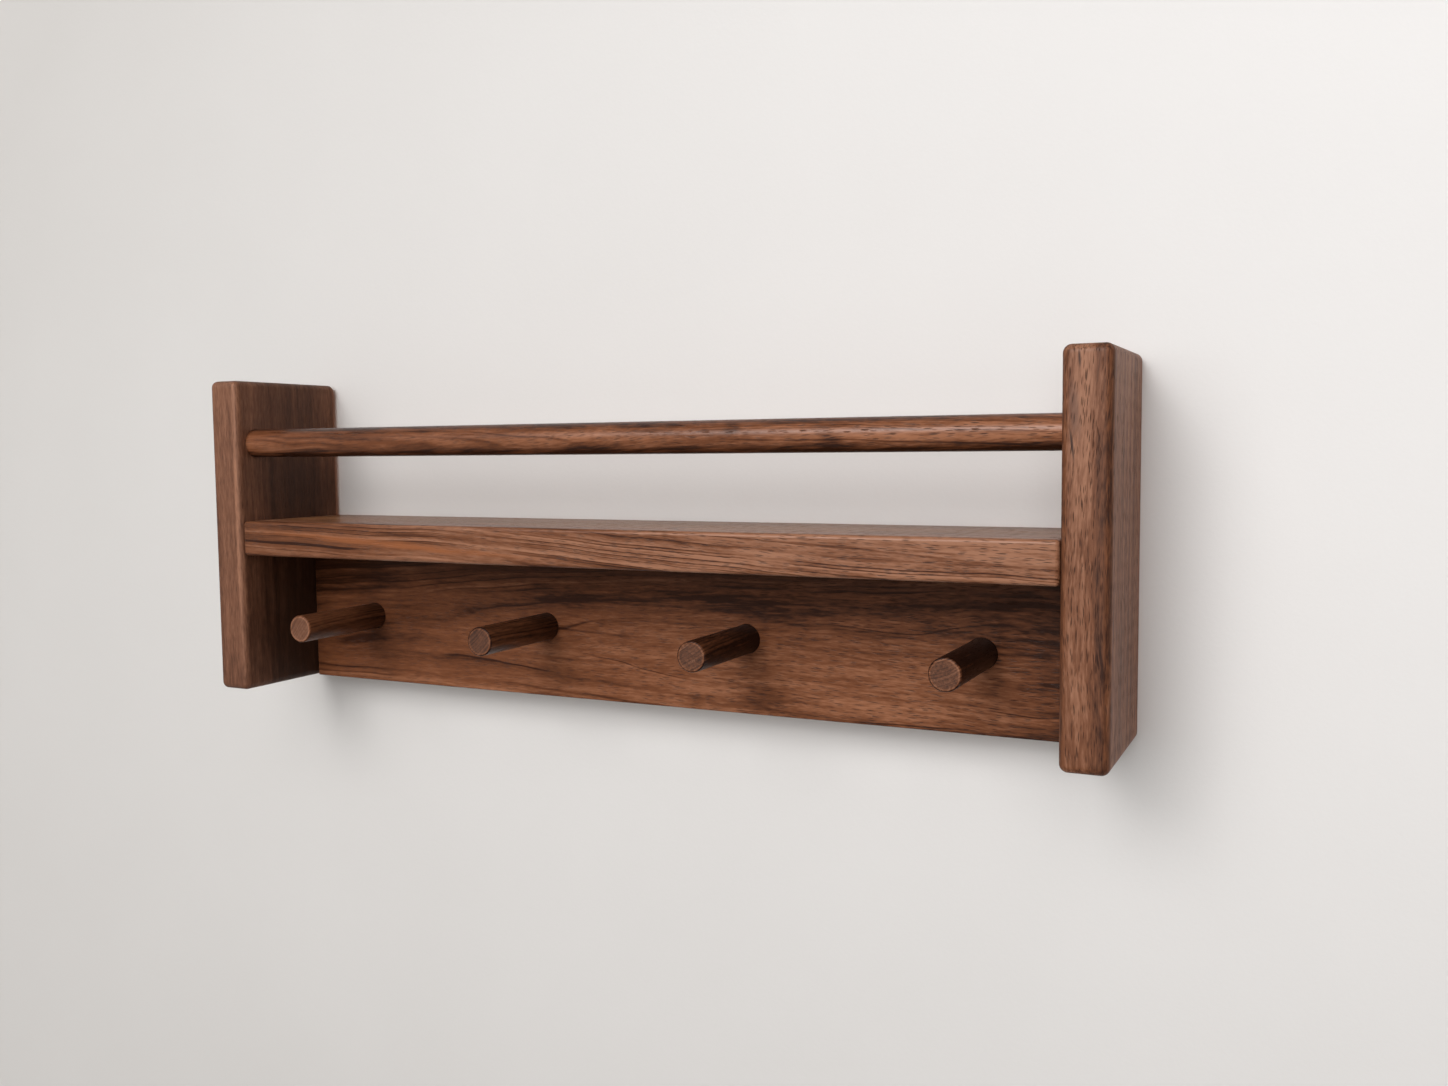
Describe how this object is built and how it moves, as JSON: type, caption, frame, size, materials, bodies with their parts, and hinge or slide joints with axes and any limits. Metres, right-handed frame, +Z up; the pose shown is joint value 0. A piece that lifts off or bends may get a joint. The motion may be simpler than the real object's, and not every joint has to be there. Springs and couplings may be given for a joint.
{
  "type": "wall shelf",
  "caption": "Walnut wall shelf with rounded end panels, a round guard rail above the shelf and straight round pegs on a back board below it.",
  "frame": {"origin": "middle of the back board's rear face, on the wall plane", "axes": "+X along the shelf to the right as seen from the room, +Y into the wall, +Z up"},
  "size_m": [0.6, 0.1005, 0.212],
  "materials": {
    "panel_walnut": "satin oil",
    "shelf_walnut": "satin oil",
    "back_walnut": "satin oil",
    "rail_walnut": "satin oil",
    "peg_walnut": "satin oil",
    "dowel_beech": "bare",
    "plate_steel": "zinc plated",
    "screw_steel": "zinc plated"
  },
  "bodies": {
    "root": {"left_end_panel": "panel_walnut", "right_end_panel": "panel_walnut", "shelf_board": "shelf_walnut", "back_board": "back_walnut", "guard_rail": "rail_walnut", "peg_1": "peg_walnut", "peg_2": "peg_walnut", "peg_3": "peg_walnut", "peg_4": "peg_walnut", "shelf_dowel_left_1": "dowel_beech", "shelf_dowel_left_2": "dowel_beech", "shelf_dowel_left_3": "dowel_beech", "shelf_dowel_right_1": "dowel_beech", "shelf_dowel_right_2": "dowel_beech", "shelf_dowel_right_3": "dowel_beech", "back_dowel_left_1": "dowel_beech", "back_dowel_left_2": "dowel_beech", "back_dowel_right_1": "dowel_beech", "back_dowel_right_2": "dowel_beech", "shelf_to_back_dowel_1": "dowel_beech", "shelf_to_back_dowel_2": "dowel_beech", "shelf_to_back_dowel_3": "dowel_beech", "left_keyhole_plate": "plate_steel", "right_keyhole_plate": "plate_steel", "left_plate_screw_1": "screw_steel", "left_plate_screw_2": "screw_steel", "right_plate_screw_1": "screw_steel", "right_plate_screw_2": "screw_steel"}
  },
  "joints": []
}
